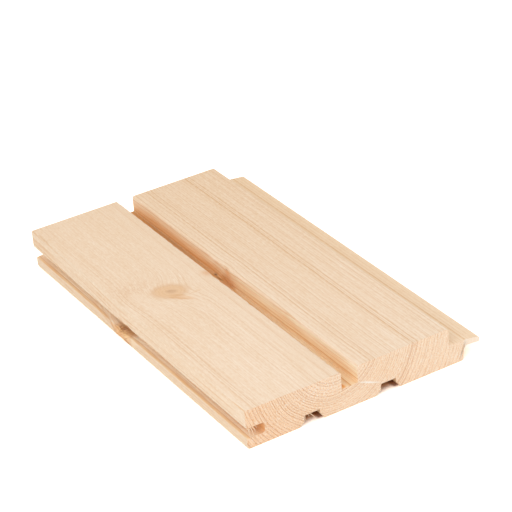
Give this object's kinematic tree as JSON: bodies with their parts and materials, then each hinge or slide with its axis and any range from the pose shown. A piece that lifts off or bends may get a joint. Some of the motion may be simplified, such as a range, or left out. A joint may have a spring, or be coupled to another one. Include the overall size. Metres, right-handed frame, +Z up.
{
  "type": "tongue and groove board",
  "caption": "Short flat softwood cladding board with a tongue, a groove and a channel down its face, to lock into its neighbours on a wall.",
  "frame": {"origin": "middle of the underside, on the surface that the board lies on", "axes": "+Z up out of the face, +Y along the grain and the length, +X across the board towards the tongue"},
  "size_m": [0.145, 0.24, 0.023],
  "materials": {
    "planed_softwood": "planed, bare"
  },
  "bodies": {
    "root": {"cladding_board": "planed_softwood"}
  },
  "joints": []
}
